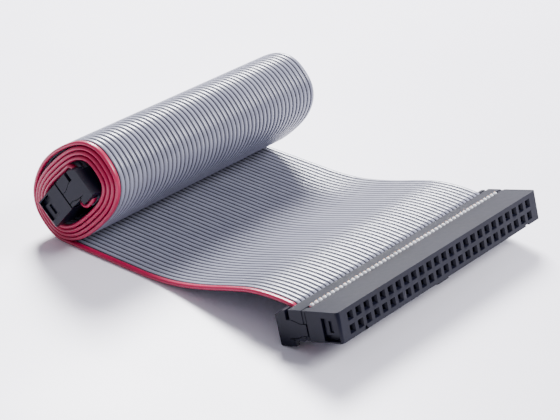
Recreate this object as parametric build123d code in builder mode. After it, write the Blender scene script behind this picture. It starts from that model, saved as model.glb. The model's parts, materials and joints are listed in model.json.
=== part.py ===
"""Fifty-way flat ribbon cable, rolled up, with a crimped socket on each end.

Millimetres, +Z up.  The cable lies on the plane z = 0.  X runs from the roll
towards the end socket's mating face, Y runs along the roll and the sockets,
and the origin is the centre of the footprint.  The red edge wire is at -Y.
"""
from build123d import *
import os
from math import cos, pi, radians, sin, tan

# ---------------------------------------------------------------- ribbon
WIRES = 50
WIRE_PITCH = 1.27
RIBBON_W = WIRES * WIRE_PITCH
RIBBON_T = 0.84
HALF_T = RIBBON_T / 2
CORE_D = 0.38                  # seven-strand copper core
CORE_LENGTH = 5.0              # length of core left straight at a crimped end
BEND_GAP = 0.2                 # clear space left each side of a bending line

# ---------------------------------------------------------------- socket
COLUMNS = 25
PITCH = 2.54
SOCKET_L = (COLUMNS - 1) * PITCH + 7.11
SOCKET_H = 6.1
BODY_D = 7.6                   # mating face to the back of the body
SLOT = 0.9                     # space that the ribbon runs in
COVER_D = 3.1
CLIP_D = 2.5
END_ZONE = 2.0                 # solid length at each end, past the ribbon
SEAM = 0.12                    # open line between body and cover
ARM_T = 0.85                   # thickness of the clip's arms and cover's legs
COVER_FRONT = -BODY_D - SLOT
COVER_BACK = COVER_FRONT - COVER_D
CLIP_FRONT = COVER_BACK - SLOT
CLIP_BACK = CLIP_FRONT - CLIP_D
CLIP_BOTTOM = -SOCKET_H / 2 - 1.3
CLIP_BEVEL = 0.25              # on the clip's lower back edge
SPINE_TOP = 1.4                # back edge of the clip's spine
SPINE_LIP = 0.2                # front edge of the spine, beside the ribbon
FRONT_LEG = -BODY_D - SLOT / 2         # ribbon between body and cover
BACK_LEG = COVER_BACK - SLOT / 2       # ribbon between cover and clip
CUT_END = SOCKET_H / 2 - 0.1   # height of the ribbon's cut end

# contact openings, two rows
MOUTH_W, MOUTH_H, MOUTH_D = 1.6, 1.7, 0.5
MOUTH_TAPER = 28               # degrees
CAVITY_W, CAVITY_H = 1.0, 1.1

# contacts: springs for the pins, blades for the ribbon
SPRING_T, SPRING_L, BASE_L = 0.13, 4.6, 1.0
BLADE_T, BLADE_H, BLADE_OFFSET = 0.25, 0.9, 0.35

# polarising key, on the side away from the ribbon's cut end
KEY_W, KEY_H, KEY_D, KEY_SETBACK = 4.2, 0.9, 4.6, 1.2

# window at each end of the body for the cover's latch
WINDOW_FRONT, WINDOW_BACK = -0.45, -4.1
WINDOW_TOP, WINDOW_BOTTOM = 1.8, -2.75
LEG_HALF_H = 1.6
LATCH_SLOT_W, LATCH_SLOT_H, LATCH_SLOT_D = 0.85, 2.3, 0.35

# ---------------------------------------------------------------- layout
ROLL_X = -28.35                # centre of the roll
END_FACE_X = ROLL_X + 67.65    # middle of the end socket's mating face
END_PITCH = 17.5               # the end socket's nose-up angle
CORE_SHIFT = 0.6               # the core stands out to -Y, the rest to +Y
TURNS = 4.4
ROLL_TILT = 48                 # long axis of the oval roll, from +X to +Z
OVAL_LONG, OVAL_SHORT = 9.0, 4.9           # half axes of the first turn
GROWTH_LONG, GROWTH_SHORT = 1.05, 0.95     # what each turn adds to them
SQUARENESS_IN, SQUARENESS_OUT = 2.9, 2.4   # superellipse exponents
INNER_TURN = 3                 # inner socket against the oval's long axis, degrees
INNER_SOCKET_RISE = 0.15       # socket's centre above the oval's long axis
FIRST_TURN = -0.05             # where the first turn leaves the inner fold
LIFT_LINE_X = ROLL_X + 3.0     # where the tail hinges on the roll
TILT_LINE_X = ROLL_X + 54.0    # where the end socket hinges on the tail
TILT_LINE_Z = 7.5
HUMP = [(13, 0.44), (19, 0.5), (25, 1.1), (30, 2.2), (35, 3.7), (40, 5.4), (45, 6.85), (49, 7.42)]
EXIT_BEND = 1.4                # ribbon's bend out of each socket

os.makedirs("parts", exist_ok=True)


def save(part, name):
    """Label a finished piece and write its STEP file."""
    part.label = name
    export_step(part, f"parts/{name}.step")


# ---------------------------------------------------------------- frames
def pitched_frame(x, y, z, angle):
    """Frame whose local X points along the angle from +X towards +Z."""
    a = radians(angle)
    return Plane(origin=(x, y, z), x_dir=(cos(a), 0, sin(a)), z_dir=(-sin(a), 0, cos(a)))


def roll_point(turn):
    """Middle of the ribbon, in the roll's own axes, after so many turns."""
    angle = pi / 2 + 2 * pi * turn
    along = OVAL_LONG + GROWTH_LONG * turn
    across = OVAL_SHORT + GROWTH_SHORT * turn
    n = SQUARENESS_IN + (SQUARENESS_OUT - SQUARENESS_IN) * turn / TURNS
    reach = (abs(cos(angle) / along) ** n + abs(sin(angle) / across) ** n) ** (-1 / n)
    return reach * cos(angle), reach * sin(angle)


def tilted(point):
    """From the roll's own axes to X and Z, both from the roll's centre."""
    a = radians(ROLL_TILT)
    return point[0] * cos(a) - point[1] * sin(a), point[0] * sin(a) + point[1] * cos(a)


STEPS = 240                    # fineness of the search for the lowest point
last_turn = [TURNS * k / STEPS for k in range(STEPS * 3 // 4, STEPS + 1)]
lowest_turn = min(last_turn, key=lambda turn: tilted(roll_point(turn))[1])
ROLL_Z = HALF_T - tilted(roll_point(lowest_turn))[1]

rest_edge = CLIP_BACK + CLIP_BEVEL
end_drop = rest_edge * sin(radians(END_PITCH)) + CLIP_BOTTOM * cos(radians(END_PITCH))
END_FACE_Z = -end_drop
end_frame = pitched_frame(END_FACE_X, CORE_SHIFT, END_FACE_Z, END_PITCH)

inner_a = radians(ROLL_TILT + INNER_TURN)
inner_x = (-cos(inner_a), 0, -sin(inner_a))
inner_up = (-sin(inner_a), 0, cos(inner_a))
roll_centre = Vector(ROLL_X, -CORE_SHIFT, ROLL_Z)
inner_origin = roll_centre + Vector(*inner_x) * -CLIP_BACK / 2 + Vector(*inner_up) * INNER_SOCKET_RISE
inner_frame = Plane(origin=inner_origin, x_dir=inner_x, z_dir=inner_up)
# the inner body is turned over, so that the red wire meets contact 1 there too
inner_body_frame = Plane(origin=inner_origin, x_dir=inner_x, z_dir=(-inner_up[0], 0, -inner_up[2]))


# ---------------------------------------------------------------- socket pieces
def tongue_outline(gap=0):
    """Side outline of the seat for the clip's arm, or of the arm, a gap smaller."""
    return [(CLIP_FRONT, -2.9 + gap), (COVER_BACK + 1.1, -2.7 + gap),
            (COVER_FRONT - 0.7, -2.2 + gap), (-BODY_D - 0.25 - gap, -2.2 + gap),
            (-BODY_D - 0.25 - gap, 0.4 - gap), (COVER_FRONT - 0.8, 0.4 - gap),
            (COVER_BACK + 0.3, 1.1 - gap), (CLIP_FRONT, 1.1 - gap)]


def socket_body():
    with BuildPart() as body:
        with BuildSketch(Plane.YZ):
            Rectangle(SOCKET_L, SOCKET_H)
        extrude(amount=-BODY_D)
        fillet(body.edges().filter_by(Axis.Z).group_by(Axis.X)[-1], radius=0.7)
        with BuildSketch(Plane.XY.offset(-SOCKET_H / 2)):
            with Locations((-KEY_SETBACK - KEY_D / 2, 0)):
                RectangleRounded(KEY_D, KEY_W, 0.5)
        extrude(amount=-KEY_H)
        with BuildSketch(Plane.YZ):
            with GridLocations(PITCH, PITCH, COLUMNS, 2):
                Rectangle(MOUTH_W, MOUTH_H)
        extrude(amount=-MOUTH_D, taper=MOUTH_TAPER, mode=Mode.SUBTRACT)
        with BuildSketch(Plane.YZ):
            with GridLocations(PITCH, PITCH, COLUMNS, 2):
                Rectangle(CAVITY_W, CAVITY_H)
        extrude(amount=-BODY_D, mode=Mode.SUBTRACT)
        # contact 1 mark, and the small notch at the other end
        with BuildSketch(Plane.YZ):
            with Locations((-(COLUMNS / 2 - 2) * PITCH, -SOCKET_H / 2 + 0.35)):
                Triangle(a=1.1, B=60, C=60)
        extrude(amount=-0.3, mode=Mode.SUBTRACT)
        with Locations((0, (COLUMNS / 2 - 1) * PITCH, -SOCKET_H / 2)):
            Box(1.6, 1.2, 0.7, mode=Mode.SUBTRACT)
        # at each end: the window for the latch and the channel for its leg
        for side in (-1, 1):
            window_x = (WINDOW_FRONT + WINDOW_BACK) / 2
            window_z = (WINDOW_TOP + WINDOW_BOTTOM) / 2
            with Locations((window_x, side * SOCKET_L / 2, window_z)):
                Box(WINDOW_FRONT - WINDOW_BACK, 2 * ARM_T + 0.5, WINDOW_TOP - WINDOW_BOTTOM,
                    mode=Mode.SUBTRACT)
            channel_y = side * (SOCKET_L / 2 - END_ZONE + ARM_T / 2)
            with Locations(((WINDOW_FRONT - BODY_D) / 2, channel_y, 0)):
                Box(BODY_D + WINDOW_FRONT, ARM_T + 0.1, 2 * LEG_HALF_H + 0.2, mode=Mode.SUBTRACT)
    return body.part


def socket_cover():
    with BuildPart() as cover:
        with BuildSketch(Plane.YZ.offset(COVER_FRONT)):
            Rectangle(SOCKET_L, SOCKET_H)
        extrude(amount=-COVER_D)
        fillet(cover.edges().filter_by(Axis.Y).group_by(Axis.Z)[0], radius=0.5)
        for side in (-1, 1):
            # shoulder that meets the body beside the ribbon
            with Locations((COVER_FRONT + SLOT / 2 - SEAM, side * (SOCKET_L - END_ZONE) / 2, 0)):
                Box(SLOT - 2 * SEAM, END_ZONE - 2 * SEAM, SOCKET_H - 2 * SEAM)
            # leg that runs through the body to the latch in the window
            leg_front = WINDOW_FRONT - 0.35
            leg_y = SOCKET_L / 2 - END_ZONE + ARM_T / 2
            with Locations(((leg_front + COVER_FRONT) / 2, side * leg_y, 0)):
                Box(leg_front - COVER_FRONT, ARM_T, 2 * LEG_HALF_H)
            latch_back = WINDOW_BACK + 0.25
            with Locations(((leg_front + latch_back) / 2, side * (leg_y + ARM_T * 0.85), 0)):
                Box(leg_front - latch_back, ARM_T * 0.75, 2 * LEG_HALF_H)
            slot_y = side * (leg_y + ARM_T * 1.225)
            with Locations(((leg_front + latch_back) / 2 - 0.1, slot_y, 0)):
                Box(LATCH_SLOT_W, 2 * LATCH_SLOT_D, LATCH_SLOT_H, mode=Mode.SUBTRACT)
        # seats for the clip's arms
        for start in (SOCKET_L / 2, ARM_T - SOCKET_L / 2):
            with BuildSketch(Plane.XZ.offset(-start)):
                with BuildLine():
                    Polyline(*tongue_outline(), close=True)
                make_face()
            extrude(amount=ARM_T, mode=Mode.SUBTRACT)
    return cover.part


def strain_relief():
    with BuildPart() as clip:
        # the spine, low where the ribbon goes over it
        with BuildSketch(Plane.XZ.offset(-SOCKET_L / 2)):
            with BuildLine():
                Polyline((CLIP_FRONT, CLIP_BOTTOM), (CLIP_BACK + CLIP_BEVEL, CLIP_BOTTOM),
                         (CLIP_BACK, CLIP_BOTTOM + CLIP_BEVEL), (CLIP_BACK, SPINE_TOP),
                         (CLIP_BACK + 0.8, SPINE_TOP), (CLIP_FRONT, SPINE_LIP), close=True)
            make_face()
        extrude(amount=SOCKET_L)
        for start in (SOCKET_L / 2, END_ZONE - SOCKET_L / 2):
            # full height at the ends, with a sloped back corner
            with BuildSketch(Plane.XZ.offset(-start)):
                with BuildLine():
                    Polyline((CLIP_FRONT, SPINE_LIP), (CLIP_BACK, SPINE_LIP), (CLIP_BACK, 1.9),
                             (CLIP_BACK + 1.7, 2.85), (CLIP_FRONT, 2.85), close=True)
                make_face()
            extrude(amount=END_ZONE)
        for start in (SOCKET_L / 2, ARM_T - SOCKET_L / 2):
            # arm that reaches round the ribbon and snaps into the cover
            with BuildSketch(Plane.XZ.offset(-start)):
                with BuildLine():
                    Polyline(*tongue_outline(SEAM), close=True)
                make_face()
                with BuildLine():
                    Polyline((CLIP_FRONT, CLIP_BOTTOM), (CLIP_FRONT + 1.3, CLIP_BOTTOM + 0.1),
                             (CLIP_FRONT + 1.3, -SOCKET_H / 2 - 0.05),
                             (CLIP_FRONT + 0.85, -SOCKET_H / 2 - 0.05),
                             (CLIP_FRONT + 0.85, -2.87), (CLIP_FRONT, -2.9), close=True)
                make_face()
            extrude(amount=ARM_T)
    return clip.part


def blade_slots(row):
    """Outlines of one row's blades, a pair astride every second wire."""
    with Locations((row * WIRE_PITCH / 2, row * PITCH / 2)):
        with GridLocations(PITCH, PITCH, COLUMNS, 1):
            with GridLocations(2 * BLADE_OFFSET, 1, 2, 1):
                Rectangle(BLADE_T, BLADE_H)


def contact_row(row):
    """One row of contacts: two springs on a base, and the blades for the ribbon."""
    with BuildPart() as contacts:
        base_x = BASE_L - BODY_D
        with Locations((base_x, 0, row * PITCH / 2)):
            with GridLocations(1, PITCH, 1, COLUMNS):
                Box(BASE_L, CAVITY_W - 0.1, CAVITY_H - 0.2, align=(Align.MAX, Align.CENTER, Align.CENTER))
        spring_y = CAVITY_W / 2 - 0.05 - SPRING_T / 2
        for side in (-1, 1):
            with Locations((base_x, side * spring_y, row * PITCH / 2)):
                with GridLocations(1, PITCH, 1, COLUMNS):
                    Box(SPRING_L, SPRING_T, CAVITY_H - 0.3,
                        align=(Align.MIN, Align.CENTER, Align.CENTER))
        with BuildSketch(Plane.YZ.offset(-BODY_D)):
            blade_slots(row)
        extrude(amount=-SLOT * 0.9)
    return contacts.part


# ---------------------------------------------------------------- ribbon pieces
def strip(points, tangents, y_edge, width):
    """Ribbon along a middle line through (x, z) points, from y_edge towards -Y."""
    with BuildPart() as piece:
        with BuildSketch(Plane.XZ.offset(-y_edge)):
            with BuildLine() as middle:
                Spline(*points, tangents=tangents)
            trace(line_width=RIBBON_T)
        extrude(amount=width)
    print(f"{width:.2f} mm strip, {middle.wire().length:.1f} mm long")
    return piece.part


def save_ribbon(points, tangents, y_middle, name):
    """Write the grey wires and the red edge wire that follow one middle line."""
    top = y_middle + RIBBON_W / 2
    save(strip(points, tangents, top, RIBBON_W - WIRE_PITCH), f"ribbon_{name}")
    red_top = top - RIBBON_W + WIRE_PITCH
    save(strip(points, tangents, red_top, WIRE_PITCH), f"red_wire_{name}")


def core_row():
    """Round sections of the fifty copper cores, in the crimped leg."""
    with Locations((FRONT_LEG, 0)):
        with GridLocations(1, WIRE_PITCH, 1, WIRES):
            Circle(CORE_D / 2)


def fold(drop, exit_route, radii, y_edge, width):
    """Ribbon folded round the cover, from its cut end to the end of the exit route."""
    with BuildPart() as piece:
        with BuildSketch(Plane.XZ.offset(-y_edge)):
            with BuildLine():
                FilletPolyline((FRONT_LEG, CUT_END), (FRONT_LEG, -drop), (BACK_LEG, -drop),
                               *exit_route, radius=radii)
            trace(line_width=RIBBON_T)
        extrude(amount=width)
        with BuildSketch(Plane.XY.offset(CUT_END)):
            core_row()
        extrude(amount=-CORE_LENGTH, mode=Mode.SUBTRACT)
        with BuildSketch(Plane.YZ.offset(-BODY_D)):
            blade_slots(1)
            blade_slots(-1)
        extrude(amount=-SLOT * 0.9, mode=Mode.SUBTRACT)
    return piece.part


def copper_cores():
    """The straight ends of the fifty copper cores."""
    with BuildPart() as cores:
        with BuildSketch(Plane.XY.offset(CUT_END)):
            core_row()
        extrude(amount=-CORE_LENGTH)
    return cores.part


def save_socket(prefix, frame, body_frame, drop, exit_route, radii):
    """Write every piece of one socket, placed by its frames."""
    place = frame.location
    grey = RIBBON_W - WIRE_PITCH
    half = RIBBON_W / 2
    grey_top, red_top = (half, half - grey) if frame.y_dir.Y > 0 else (half - WIRE_PITCH, half)
    save(socket_body().moved(body_frame.location), f"{prefix}_socket_body")
    save(socket_cover().moved(place), f"{prefix}_socket_cover")
    save(strain_relief().moved(place), f"{prefix}_strain_relief")
    save(contact_row(1).moved(place), f"{prefix}_contacts_cut_side")
    save(contact_row(-1).moved(place), f"{prefix}_contacts_fold_side")
    save(copper_cores().moved(place), f"{prefix}_copper_cores")
    save(fold(drop, exit_route, radii, grey_top, grey).moved(place), f"ribbon_{prefix}_fold")
    save(fold(drop, exit_route, radii, red_top, WIRE_PITCH).moved(place), f"red_wire_{prefix}_fold")


# ---------------------------------------------------------------- the end socket
tilt_line = end_frame.to_local_coords(Vector(TILT_LINE_X + BEND_GAP, CORE_SHIFT, TILT_LINE_Z))
corner_w = tilt_line.Z + (tilt_line.X - BACK_LEG) * tan(radians(END_PITCH))
end_route = [(BACK_LEG, corner_w), (tilt_line.X, tilt_line.Z)]
save_socket("end", end_frame, end_frame, SOCKET_H / 2 + 0.55, end_route, [0.7, 0.7, EXIT_BEND])

# ---------------------------------------------------------------- the tail
tail_points = [(LIFT_LINE_X + BEND_GAP, HALF_T)]
tail_points += [(ROLL_X + x, z) for x, z in HUMP]
tail_points += [(TILT_LINE_X - BEND_GAP, TILT_LINE_Z)]
save_ribbon(tail_points, [(1, 0), (1, 0)], CORE_SHIFT, "tail")

# ---------------------------------------------------------------- the roll
start_x, start_z = tilted(roll_point(FIRST_TURN))
start = inner_frame.to_local_coords(Vector(ROLL_X + start_x, -CORE_SHIFT, ROLL_Z + start_z))
corner_w = start.Z - (start.X - BACK_LEG) * tan(radians(INNER_TURN))
inner_route = [(BACK_LEG, corner_w), (start.X, start.Z)]
save_socket("inner", inner_frame, inner_body_frame, SOCKET_H / 2 + 1.2, inner_route,
            [1.2, 1.2, EXIT_BEND])

roll_points = []
for k in range(101):
    x, z = tilted(roll_point(FIRST_TURN + (lowest_turn - FIRST_TURN) * k / 100))
    roll_points.append((ROLL_X + x, ROLL_Z + z))
roll_points.append((LIFT_LINE_X - BEND_GAP, HALF_T))
start_direction = (-cos(radians(ROLL_TILT)), -sin(radians(ROLL_TILT)))
save_ribbon(roll_points, [start_direction, (1, 0)], 0, "roll")
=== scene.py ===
"""Rolled grey ribbon cable with two black sockets, as seen in the studio."""
import bpy
import numpy as np
from math import cos, pi, radians, sin
from mathutils import Matrix, Vector
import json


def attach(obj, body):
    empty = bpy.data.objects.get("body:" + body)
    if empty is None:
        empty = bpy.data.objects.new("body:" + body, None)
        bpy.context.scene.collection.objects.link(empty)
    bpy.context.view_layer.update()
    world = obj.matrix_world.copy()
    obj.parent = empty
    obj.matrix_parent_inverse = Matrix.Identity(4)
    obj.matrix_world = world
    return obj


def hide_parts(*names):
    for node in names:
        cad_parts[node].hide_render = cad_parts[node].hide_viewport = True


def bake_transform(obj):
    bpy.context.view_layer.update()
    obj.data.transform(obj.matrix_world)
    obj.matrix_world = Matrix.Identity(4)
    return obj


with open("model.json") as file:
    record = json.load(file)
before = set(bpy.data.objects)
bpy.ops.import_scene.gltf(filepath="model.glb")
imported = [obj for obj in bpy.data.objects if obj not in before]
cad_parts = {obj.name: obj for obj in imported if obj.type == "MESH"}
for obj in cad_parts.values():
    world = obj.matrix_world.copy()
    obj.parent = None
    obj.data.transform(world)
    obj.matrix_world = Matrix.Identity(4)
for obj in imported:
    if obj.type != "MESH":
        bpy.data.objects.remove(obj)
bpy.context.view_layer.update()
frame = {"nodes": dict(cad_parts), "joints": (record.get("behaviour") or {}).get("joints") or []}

# ---------------------------------------------------------------- sizes, in metres
MM = 0.001
WIRES = 50
PITCH = 1.27 * MM
WIDTH = WIRES * PITCH
THICK = 0.84 * MM
WEB = 0.16 * MM                # thickness between two wires
POINTS = 8                     # mesh points across each wire
ROLL_TIGHT = 0.975             # the wound turns, drawn up tighter than the CAD's plain strip
LOOSE = 0.75                   # mm, how far the last turn stands off at the upper left
LIFT, TILT = [joint["pos_m"] for joint in frame["joints"]]
ROLL_X = LIFT[0] - 3.0 * MM
CORE_Y, TAIL_Y = -0.6 * MM, 0.6 * MM
TURNS = 4.4
ROLL_TILT = 48
END_PITCH = radians(17.5)
HUMP = [(13, 0.44), (19, 0.5), (25, 1.1), (30, 2.2), (35, 3.7), (40, 5.4), (45, 6.85), (49, 7.42)]
FRONT_LEG, BACK_LEG = -8.05, -12.05      # mm, the ribbon's two legs behind a mating face
CUT_END = 2.95                 # mm, height of the ribbon's cut end above a socket's middle
END_FOLD, INNER_FOLD = -3.6, -4.25       # mm, bottoms of the folds
FIRST_TURN = -0.05             # where the spiral starts, in turns
STEP = 0.6 * MM                # along the tail and the folds


# ---------------------------------------------------------------- ribbon routes
def roll_point(turn):
    """Middle of the ribbon in the roll's own axes, as in the CAD, in mm."""
    angle = pi / 2 + 2 * pi * turn
    along = 9.0 + 1.05 * turn
    across = 4.9 + 0.95 * turn
    n = 2.9 - 0.5 * turn / TURNS
    reach = (abs(cos(angle) / along) ** n + abs(sin(angle) / across) ** n) ** (-1 / n)
    return reach * cos(angle), reach * sin(angle)


def tilted(point):
    a = radians(ROLL_TILT)
    x, z = point
    return x * cos(a) - z * sin(a), x * sin(a) + z * cos(a)


def smooth_route(points, step):
    """Natural-looking curve through (x, z) points, resampled at an even step."""
    p = np.array(points)
    s = np.r_[0, np.cumsum(np.hypot(*np.diff(p, axis=0).T))]
    slope = np.gradient(p, s, axis=0)
    slope[0] = (p[1] - p[0]) / (s[1] - s[0])
    slope[-1] = (p[-1] - p[-2]) / (s[-1] - s[-2])
    at = np.linspace(0, s[-1], max(8, int(s[-1] / step)))
    k = np.clip(np.searchsorted(s, at) - 1, 0, len(s) - 2)
    h = (s[k + 1] - s[k])[:, None]
    t = ((at - s[k]) / h[:, 0])[:, None]
    blend = 3 * t ** 2 - 2 * t ** 3
    out = p[k] * (1 - blend) + p[k + 1] * blend
    out += h * slope[k] * (t - 2 * t ** 2 + t ** 3) + h * slope[k + 1] * (t ** 3 - t ** 2)
    return out


turns = np.linspace(FIRST_TURN, TURNS, 3000)
slack = LOOSE * np.exp(-(((turns - 4.03) / 0.12) ** 2))
wound = np.array([tilted(roll_point(t)) for t in turns])
wound *= ROLL_TIGHT + (slack / np.hypot(*wound.T))[:, None]
spiral = wound * MM
lowest = len(turns) // 2 + int(np.argmin(spiral[len(turns) // 2:, 1]))
spiral = spiral[:lowest + 1] + np.array([ROLL_X, THICK / 2 - spiral[lowest, 1]])


def socket_frame(origin_x, origin_z, angle):
    """(u, w) in mm on a socket to (x, z) in metres."""
    along = np.array([cos(angle), sin(angle)])
    up = np.array([-sin(angle), cos(angle)])
    origin = np.array([origin_x, origin_z])
    return lambda u, w: origin + (u * along + w * up) * MM


def rounded(corners, radii):
    """Straight runs joined by arcs, as (x, z) points."""
    out = [np.array(corners[0])]
    for a, b, c, r in zip(corners, corners[1:], corners[2:], radii):
        a, b, c = np.array(a), np.array(b), np.array(c)
        before, after = (a - b) / np.linalg.norm(a - b), (c - b) / np.linalg.norm(c - b)
        half = np.arccos(np.clip(before @ after, -1, 1)) / 2
        centre = b + (before + after) / np.linalg.norm(before + after) * r / np.sin(half)
        start, stop = b + before * r / np.tan(half), b + after * r / np.tan(half)
        for t in np.linspace(0, 1, 10):
            v = (1 - t) * (start - centre) + t * (stop - centre)
            out.append(centre + v / np.linalg.norm(v) * r)
    out.append(np.array(corners[-1]))
    return np.array(out)


def finer(path, step):
    """Adds points along long straight runs."""
    out = [path[0]]
    for a, b in zip(path, path[1:]):
        count = max(1, int(np.ceil(np.linalg.norm(b - a) / step)))
        for k in range(1, count + 1):
            out.append(a + (b - a) * k / count)
    return np.array(out)


# ---------------------------------------------------------------- ribbon meshes
def wire_profile(first, last):
    """Half heights across the wires, from -Y to +Y, and where they are."""
    y, h = [], []
    for wire in range(first, last):
        centre = (wire + 0.5) * PITCH - WIDTH / 2
        for k in range(POINTS + 1):
            t = -1 + 2 * k / POINTS
            if k == 0 and wire > first:
                continue
            edge = (wire == 0 and t < 0) or (wire == WIRES - 1 and t > 0)
            low = 0.05 * MM if edge else WEB / 2
            round_part = np.sqrt(max(0.0, 1 - abs(t) ** 2.1))
            y.append(centre + t * PITCH / 2)
            h.append(low + (THICK / 2 - low) * round_part)
    return np.array(y), np.array(h)


def ribbon(name, path, shift, first, last, material):
    """Closed ridged strip of wires first to last along an (x, z) path."""
    y, h = wire_profile(first, last)
    tangent = np.gradient(path, axis=0)
    tangent /= np.linalg.norm(tangent, axis=1)[:, None]
    normal = np.c_[-tangent[:, 1], tangent[:, 0]]
    rings, verts = len(path), []
    across = len(y)
    for i in range(rings):
        for side, order in ((1, range(across)), (-1, range(across - 1, -1, -1))):
            for j in order:
                offset = path[i] + normal[i] * h[j] * side
                verts.append((offset[0], y[j] + shift[i], offset[1]))
    loop = 2 * across
    faces = []
    for i in range(rings - 1):
        for j in range(loop):
            k = (j + 1) % loop
            faces.append((i * loop + j, i * loop + k, (i + 1) * loop + k, (i + 1) * loop + j))
    for ring in (0, rings - 1):
        base = ring * loop
        for j in range(across - 1):
            quad = (base + j, base + j + 1, base + loop - 2 - j, base + loop - 1 - j)
            faces.append(quad if ring else quad[::-1])
    mesh = bpy.data.meshes.new(name)
    mesh.from_pydata(verts, [], faces)
    mesh.update()
    for polygon in mesh.polygons:
        polygon.use_smooth = True
    mesh.set_sharp_from_angle(angle=radians(60))
    # height over the wires, 1 on their tops and on the two outer edges: the mask for the painted
    # shade in the grooves
    ridge = mesh.attributes.new("ridge", "FLOAT", "POINT")
    depth = np.clip((h - WEB / 2) / (THICK / 2 - WEB / 2), 0, 1)
    depth[abs(y) > (WIDTH - PITCH) / 2] = 1
    level = np.r_[depth, depth[::-1]]
    ridge.data.foreach_set("value", np.tile(level, rings).astype(np.float32))
    mesh.materials.append(material)
    obj = bpy.data.objects.new(name, mesh)
    bpy.context.scene.collection.objects.link(obj)
    return obj


# ---------------------------------------------------------------- materials
def new_material(name):
    material = bpy.data.materials.new(name)
    material.use_nodes = True
    return material, material.node_tree.nodes, material.node_tree.links


def plastic(name, dark, light, roughness, coat=0.0, grain=900.0, bump=0.05):
    """Moulded or extruded plastic with uneven tone, gloss and a fine surface grain."""
    material, nodes, links = new_material(name)
    shader = nodes["Principled BSDF"]
    place = nodes.new("ShaderNodeTexCoord")
    cloud = nodes.new("ShaderNodeTexNoise")
    cloud.inputs["Scale"].default_value = 120.0
    cloud.inputs["Detail"].default_value = 6.0
    tone = nodes.new("ShaderNodeValToRGB")
    tone.color_ramp.elements[0].position = 0.3
    tone.color_ramp.elements[0].color = (*dark, 1)
    tone.color_ramp.elements[1].position = 0.7
    tone.color_ramp.elements[1].color = (*light, 1)
    fine = nodes.new("ShaderNodeTexNoise")
    fine.inputs["Scale"].default_value = grain
    gloss = nodes.new("ShaderNodeMapRange")
    gloss.inputs["To Min"].default_value = roughness - 0.06
    gloss.inputs["To Max"].default_value = roughness + 0.06
    relief = nodes.new("ShaderNodeBump")
    relief.inputs["Strength"].default_value = bump
    relief.inputs["Distance"].default_value = 0.00005
    links.new(place.outputs["Object"], cloud.inputs["Vector"])
    links.new(place.outputs["Object"], fine.inputs["Vector"])
    links.new(cloud.outputs["Fac"], tone.inputs["Fac"])
    links.new(tone.outputs["Color"], shader.inputs["Base Color"])
    links.new(fine.outputs["Fac"], gloss.inputs["Value"])
    links.new(gloss.outputs["Result"], shader.inputs["Roughness"])
    links.new(fine.outputs["Fac"], relief.inputs["Height"])
    links.new(relief.outputs["Normal"], shader.inputs["Normal"])
    shader.inputs["Coat Weight"].default_value = coat
    return material


def metal(name, dark, light, roughness):
    material = plastic(name, dark, light, roughness, bump=0.1)
    material.node_tree.nodes["Principled BSDF"].inputs["Metallic"].default_value = 1.0
    return material


def insulation(name, dark, light, roughness, groove_shade_level, coat):
    """Ribbon insulation: the plastic above, with painted shade darkening it down in the grooves
    between wires.
    """
    material = plastic(name, dark, light, roughness, coat=coat, bump=0.01)
    nodes, links = material.node_tree.nodes, material.node_tree.links
    shader = nodes["Principled BSDF"]
    tone = shader.inputs["Base Color"].links[0].from_socket
    # painted shade: the base colour is multiplied darker towards the bottom of each groove
    ridge = nodes.new("ShaderNodeAttribute")
    ridge.attribute_name = "ridge"
    groove_shade_ramp = nodes.new("ShaderNodeMapRange")
    groove_shade_ramp.inputs["From Min"].default_value = 0.3
    groove_shade_ramp.inputs["From Max"].default_value = 0.97
    groove_shade_ramp.inputs["To Min"].default_value = groove_shade_level
    mix = nodes.new("ShaderNodeMix")
    mix.data_type = "RGBA"
    mix.blend_type = "MULTIPLY"
    mix.inputs["Factor"].default_value = 1.0
    links.new(ridge.outputs["Fac"], groove_shade_ramp.inputs["Value"])
    links.new(tone, mix.inputs["A"])
    links.new(groove_shade_ramp.outputs["Result"], mix.inputs["B"])
    links.new(mix.outputs["Result"], shader.inputs["Base Color"])
    return material


# the fifth value of each is the multiplier for the painted groove shade at the bottom of a groove
grey = insulation("grey insulation", (0.20, 0.205, 0.275), (0.24, 0.245, 0.32), 0.32, 0.03, 0.1)
red = insulation("red insulation", (0.32, 0.001, 0.045), (0.38, 0.003, 0.058), 0.34, 0.3, 0.12)
black = plastic("black moulding", (0.003, 0.0035, 0.010), (0.006, 0.0065, 0.016), 0.33, bump=0.06)
black.node_tree.nodes["Principled BSDF"].inputs["Specular IOR Level"].default_value = 0.14
pale = plastic("cut insulation", (0.72, 0.73, 0.77), (0.85, 0.86, 0.9), 0.5)
copper = metal("copper strands", (0.55, 0.28, 0.16), (0.7, 0.4, 0.25), 0.35)
spring = metal("contact springs", (0.45, 0.4, 0.28), (0.6, 0.54, 0.4), 0.3)

for node, obj in frame["nodes"].items():
    look = black
    if "contacts" in node:
        look = spring
    elif "copper" in node:
        look = copper
    elif node.startswith("ribbon"):
        look = grey
    elif node.startswith("red_wire"):
        look = red
    obj.data.materials.clear()
    obj.data.materials.append(look)


# ---------------------------------------------------------------- moulded parts
def soften_edges(node, width):
    """Small rounded edges on a moulded piece."""
    obj = frame["nodes"][node]
    weld = obj.modifiers.new("weld", "WELD")
    weld.merge_threshold = 0.000002
    bevel = obj.modifiers.new("edges", "BEVEL")
    bevel.width = width
    bevel.segments = 2
    bevel.angle_limit = radians(35)
    bevel.harden_normals = False


for prefix in ("end", "inner"):
    soften_edges(f"{prefix}_socket_cover", 0.06 * MM)
    soften_edges(f"{prefix}_strain_relief", 0.06 * MM)
    soften_edges(f"{prefix}_socket_body", 0.06 * MM)


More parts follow.
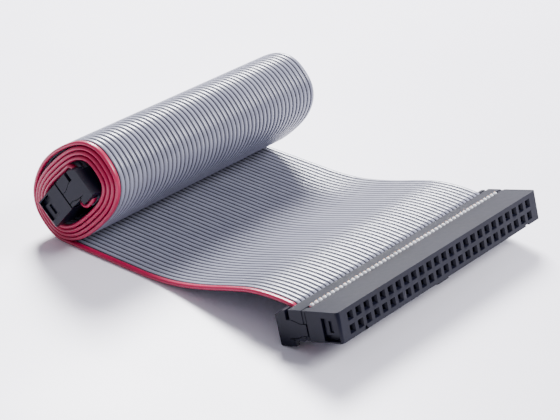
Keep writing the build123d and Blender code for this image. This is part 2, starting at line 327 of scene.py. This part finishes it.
# ---------------------------------------------------------------- the end socket's frame
END_FACE_X = ROLL_X + 67.65 * MM
END_FACE_Z = (14.75 * sin(END_PITCH) + 4.35 * cos(END_PITCH)) * MM
end_at = socket_frame(END_FACE_X, END_FACE_Z, END_PITCH)
INNER_DEPTH, INNER_RISE, INNER_TURN = 7.5, 0.15, radians(3)
inner_turn = radians(ROLL_TILT) + INNER_TURN
inner_along = np.array([-cos(inner_turn), -sin(inner_turn)])
inner_up = np.array([-sin(inner_turn), cos(inner_turn)])
centre_z = THICK / 2 - min(tilted(roll_point(t))[1] for t in turns[1500:]) * MM
roll_centre = np.array([ROLL_X, centre_z])
inner_origin = roll_centre + (inner_along * INNER_DEPTH + inner_up * INNER_RISE) * MM


def inner_at(u, w):
    """(u, w) in mm on the inner socket to (x, z): it points down and to the left."""
    return inner_origin + (u * inner_along + w * inner_up) * MM


# ---------------------------------------------------------------- ribbon pieces
def ribbon_pair(name, path, shift, place, nodes):
    """Grey wires and the red edge wire along one path."""
    for label, first, last, look, cad in (("grey", 1, WIRES, grey, nodes[0]),
                                          ("red", 0, 1, red, nodes[1])):
        obj = ribbon(f"{label}_wires_{name}", path, shift, first, last, look)
        place(obj)
        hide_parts(*cad)


def on_roll(obj):
    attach(obj, "roll")


# the roll: each turn stands a little further out to -Y than the one round it
travel = np.r_[0, np.cumsum(np.hypot(*np.diff(spiral, axis=0).T))]
even = np.linspace(0, travel[-1], 330)
roll_path = np.c_[np.interp(even, travel, spiral[:, 0]), np.interp(even, travel, spiral[:, 1])]
out_of_core = np.linspace(0, 1, len(roll_path))
roll_shift = CORE_Y + (TAIL_Y - CORE_Y) * out_of_core
ribbon_pair("roll", roll_path, roll_shift, on_roll, (["ribbon_roll"], ["red_wire_roll"]))

# the fold inside the roll
leave = (spiral[0] - inner_origin) / MM
leave_u, leave_w = leave @ inner_along, leave @ inner_up
leave_corner_w = leave_w - (leave_u - BACK_LEG) * np.tan(INNER_TURN)
inner_corners = [inner_at(FRONT_LEG, CUT_END), inner_at(FRONT_LEG, INNER_FOLD),
                 inner_at(BACK_LEG, INNER_FOLD), inner_at(BACK_LEG, leave_corner_w), spiral[0]]
inner_path = finer(rounded(inner_corners, [1.2 * MM, 1.2 * MM, 1.4 * MM]), STEP)
inner_shift = np.full(len(inner_path), CORE_Y)
ribbon_pair("inner_fold", inner_path, inner_shift, on_roll,
            (["ribbon_inner_fold"], ["red_wire_inner_fold"]))

# the tail, passing through its two hinges, split in two at its middle
MIDDLE_X = ROLL_X + 30 * MM
tail_points = [tuple(spiral[-1]), (LIFT[0], THICK / 2)]
tail_points += [(ROLL_X + x * MM, z * MM) for x, z in HUMP]
tail_points += [(ROLL_X + 51.5 * MM, 7.55 * MM), (TILT[0], TILT[2])]
tail_path = smooth_route(tail_points, STEP)
split = int(np.argmin(abs(tail_path[:, 0] - MIDDLE_X)))
near_roll, near_end = tail_path[:split + 1], tail_path[split:]


def on_roll_and_tail(obj):
    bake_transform(obj)


def on_tail_and_socket(obj):
    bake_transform(obj)


ribbon_pair("tail", near_roll, np.full(len(near_roll), TAIL_Y), on_roll_and_tail,
            (["ribbon_tail"], ["red_wire_tail"]))

exit_w = (TILT[2] - END_FACE_Z) / MM / cos(END_PITCH) - BACK_LEG * np.tan(END_PITCH)
end_corners = [near_end[-1], end_at(BACK_LEG, exit_w), end_at(BACK_LEG, END_FOLD),
               end_at(FRONT_LEG, END_FOLD), end_at(FRONT_LEG, CUT_END)]
end_path = rounded(end_corners, [1.4 * MM, 0.7 * MM, 0.7 * MM])[1:]
fold_path = finer(np.vstack([near_end, end_path]), STEP)
ribbon_pair("end_fold", fold_path, np.full(len(fold_path), TAIL_Y), on_tail_and_socket,
            (["ribbon_end_fold"], ["red_wire_end_fold"]))


# ---------------------------------------------------------------- the wires' cut ends
def domes(name, at, shift, radius, height, material, body, top):
    """A row of small domes, one on each wire's cut end."""
    verts, faces = [], []
    sides, rings = 10, 3
    for wire in range(WIRES):
        y = (wire + 0.5) * PITCH - WIDTH / 2 + shift
        base = len(verts)
        for ring in range(rings):
            spread = cos(ring / rings * pi / 2)
            rise = sin(ring / rings * pi / 2) * height
            for k in range(sides):
                a = 2 * pi * k / sides
                x, z = at(FRONT_LEG + spread * radius * cos(a), top + rise)
                verts.append((x, y + spread * radius * MM * sin(a), z))
        x, z = at(FRONT_LEG, top + height)
        verts.append((x, y, z))
        for ring in range(rings - 1):
            for k in range(sides):
                n = (k + 1) % sides
                a = base + ring * sides
                faces.append((a + k, a + n, a + n + sides, a + k + sides))
        last = base + (rings - 1) * sides
        for k in range(sides):
            faces.append((last + k, last + (k + 1) % sides, base + rings * sides))
        faces.append(tuple(base + k for k in range(sides - 1, -1, -1)))
    mesh = bpy.data.meshes.new(name)
    mesh.from_pydata(verts, [], faces)
    for polygon in mesh.polygons:
        polygon.use_smooth = True
    mesh.materials.append(material)
    obj = bpy.data.objects.new(name, mesh)
    bpy.context.scene.collection.objects.link(obj)
    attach(obj, body)
    return obj


domes("cut_ends", end_at, TAIL_Y, 0.46, 0.5, pale, "end_socket", CUT_END)
domes("cut_cores", end_at, TAIL_Y, 0.15, 0.1, copper, "end_socket", 3.4)
domes("inner_cut_ends", inner_at, CORE_Y, 0.42, 0.3, pale, "roll", CUT_END)


# ---------------------------------------------------------------- studio
def floor_material():
    return plastic("floor", (0.87, 0.85, 0.95), (0.89, 0.87, 0.97), 0.4, bump=0.0)


bpy.ops.mesh.primitive_plane_add(size=1, location=(0, 0.2, -0.00002))
floor = bpy.context.object
floor.name = "floor"
floor.scale = (40, 40, 1)
floor.data.materials.append(floor_material())

world = bpy.data.worlds.new("studio")
bpy.context.scene.world = world
world.use_nodes = True
world.node_tree.nodes["Background"].inputs["Color"].default_value = (0.92, 0.91, 1.0, 1)
world.node_tree.nodes["Background"].inputs["Strength"].default_value = 0.55


def area_light(name, position, target, size, power, colour=(1, 1, 1)):
    data = bpy.data.lights.new(name, "AREA")
    data.size = size
    data.energy = power
    data.color = colour
    lamp = bpy.data.objects.new(name, data)
    bpy.context.scene.collection.objects.link(lamp)
    lamp.location = position
    direction = Vector(target) - Vector(position)
    lamp.rotation_euler = direction.to_track_quat("-Z", "Y").to_euler()
    return lamp


area_light("back softbox", (-0.32, 0.34, 0.42), (0, 0, 0), 0.22, 15.0)
area_light("side softbox", (0.40, 0.25, 0.45), (0, 0, 0), 0.25, 6.0)

# ---------------------------------------------------------------- camera
CAMERA_X, CAMERA_Y, CAMERA_Z = ROLL_X + 242.8 * MM, -283.8 * MM, 186.8 * MM
AZIMUTH, ELEVATION, ROLL = radians(37.17), radians(26.86), radians(2.37)
back = Vector((sin(AZIMUTH) * cos(ELEVATION), -cos(AZIMUTH) * cos(ELEVATION), sin(ELEVATION)))
right = (-back).cross(Vector((0, 0, 1))).normalized()
up = right.cross(-back)
right_rolled = right * cos(ROLL) + up * sin(ROLL)
up_rolled = up * cos(ROLL) - right * sin(ROLL)
camera_data = bpy.data.cameras.new("camera")
camera_data.sensor_width = 36
camera_data.lens = 125.6
camera_data.clip_start = 0.01
camera_data.clip_end = 100
camera = bpy.data.objects.new("camera", camera_data)
bpy.context.scene.collection.objects.link(camera)
rotation = Matrix((right_rolled, up_rolled, back)).transposed()
camera.matrix_world = Matrix.Translation((CAMERA_X, CAMERA_Y, CAMERA_Z)) @ rotation.to_4x4()
bpy.context.scene.camera = camera
